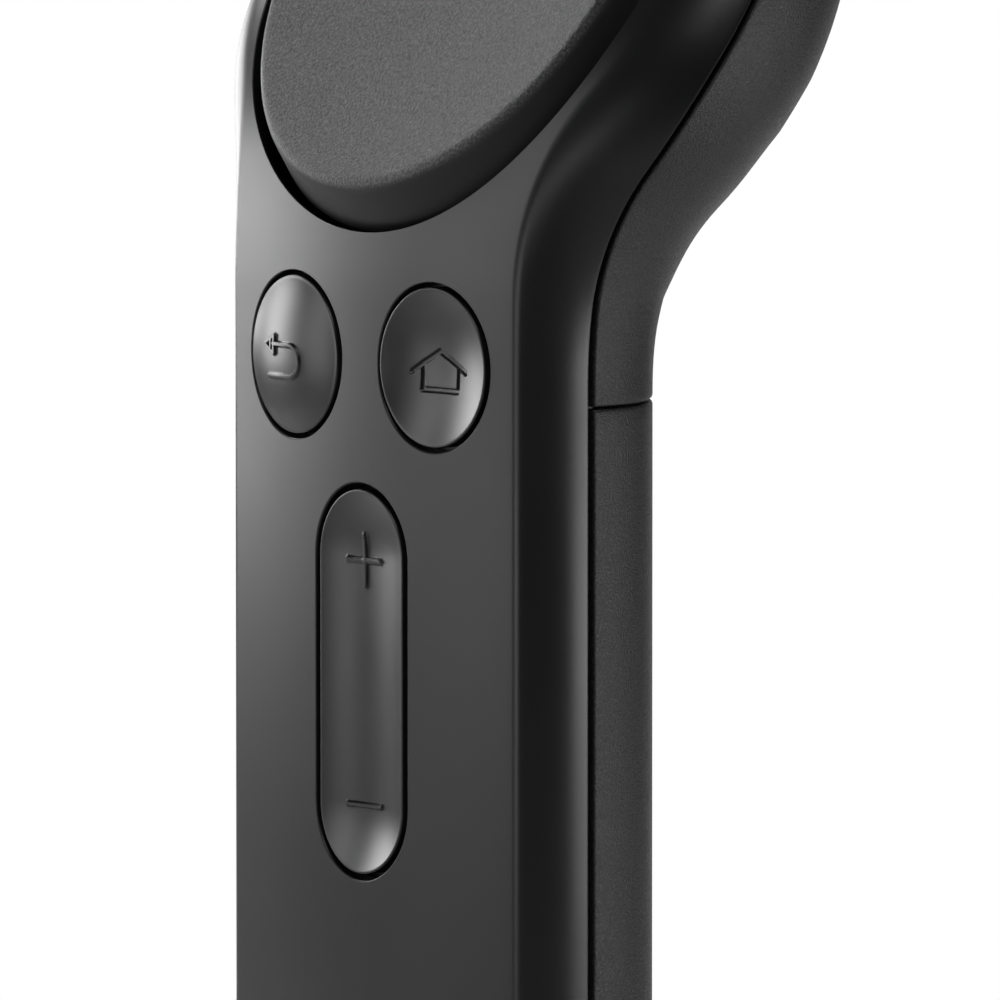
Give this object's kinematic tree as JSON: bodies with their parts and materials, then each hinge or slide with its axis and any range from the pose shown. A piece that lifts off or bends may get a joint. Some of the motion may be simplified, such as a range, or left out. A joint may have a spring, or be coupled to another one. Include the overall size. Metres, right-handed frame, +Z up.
{
  "type": "motion controller",
  "caption": "One-handed motion controller with a round touch pad, two round buttons, a volume rocker and a trigger behind the head.",
  "frame": {"origin": "centre of the flat base end of the handle", "axes": "+Z up the handle towards the head, -Y out of the face with the buttons, +X to the right hand side seen from the face"},
  "size_m": [0.0482, 0.0379, 0.108],
  "materials": {
    "face_plastic": "satin",
    "back_plastic": "fine grain",
    "pad_plastic": "fine grain",
    "button_plastic": "satin",
    "frame_plastic": "matte",
    "lens_plastic": "clear",
    "board": "solder resist",
    "flex": "smooth",
    "steel": "plain",
    "nickel": "bright",
    "cell_wrap": "smooth"
  },
  "bodies": {
    "body": {"front_shell": "face_plastic", "rear_housing": "back_plastic", "head_frame": "frame_plastic", "frame_screws": "steel", "pad_board": "board", "pad_switch": "frame_plastic", "board_flex": "flex", "main_board": "board", "radio_shield": "nickel", "back_switch": "nickel", "home_switch": "nickel", "volume_up_switch": "nickel", "volume_down_switch": "nickel", "status_lamp": "lens_plastic", "light_pipe": "lens_plastic", "battery_tray": "frame_plastic", "case_screws": "steel", "cell_left": "cell_wrap", "cell_right": "cell_wrap", "contact_bridge": "nickel", "contact_positive": "nickel", "contact_negative": "nickel", "bottom_spring": "nickel", "top_spring": "nickel", "trigger_pin": "steel", "trigger_spring": "steel", "trigger_board": "board", "trigger_switch": "frame_plastic"},
    "cover": {"battery_cover": "back_plastic"},
    "pad": {"touchpad": "pad_plastic", "touch_sensor": "board"},
    "back_key": {"back_button": "button_plastic"},
    "home_key": {"home_button": "button_plastic"},
    "volume_key": {"volume_rocker": "button_plastic"},
    "trigger_key": {"trigger": "button_plastic"}
  },
  "joints": [
    {"name": "battery_cover_slide", "type": "slide", "parent": "body", "child": "cover", "axis": [0, 0, -1], "range_m": [0, 0.066]},
    {"name": "touchpad_press", "type": "slide", "parent": "body", "child": "pad", "axis": [0, 0.8572, -0.515], "range_m": [0, 0.00035], "stiffness_N_per_m": 3000, "springref_m": -0.0003},
    {"name": "back_press", "type": "slide", "parent": "body", "child": "back_key", "axis": [0.0716, 0.9974, 0], "range_m": [0, 0.00025], "stiffness_N_per_m": 3000, "springref_m": -0.0002},
    {"name": "home_press", "type": "slide", "parent": "body", "child": "home_key", "axis": [-0.0716, 0.9974, 0], "range_m": [0, 0.00025], "stiffness_N_per_m": 3000, "springref_m": -0.0002},
    {"name": "volume_rock", "type": "hinge", "parent": "body", "child": "volume_key", "pos_m": [0, -0.00565, 0.0454], "axis": [1, 0, 0], "range_deg": [-1.5, 1.5], "stiffness_Nm_per_rad": 0.3},
    {"name": "trigger_pull", "type": "hinge", "parent": "body", "child": "trigger_key", "pos_m": [0, 0.01636, 0.09743], "axis": [-1, 0, 0], "range_deg": [0, 12], "stiffness_Nm_per_rad": 0.03, "springref_deg": -8.59, "deforming": ["trigger_spring"]}
  ]
}
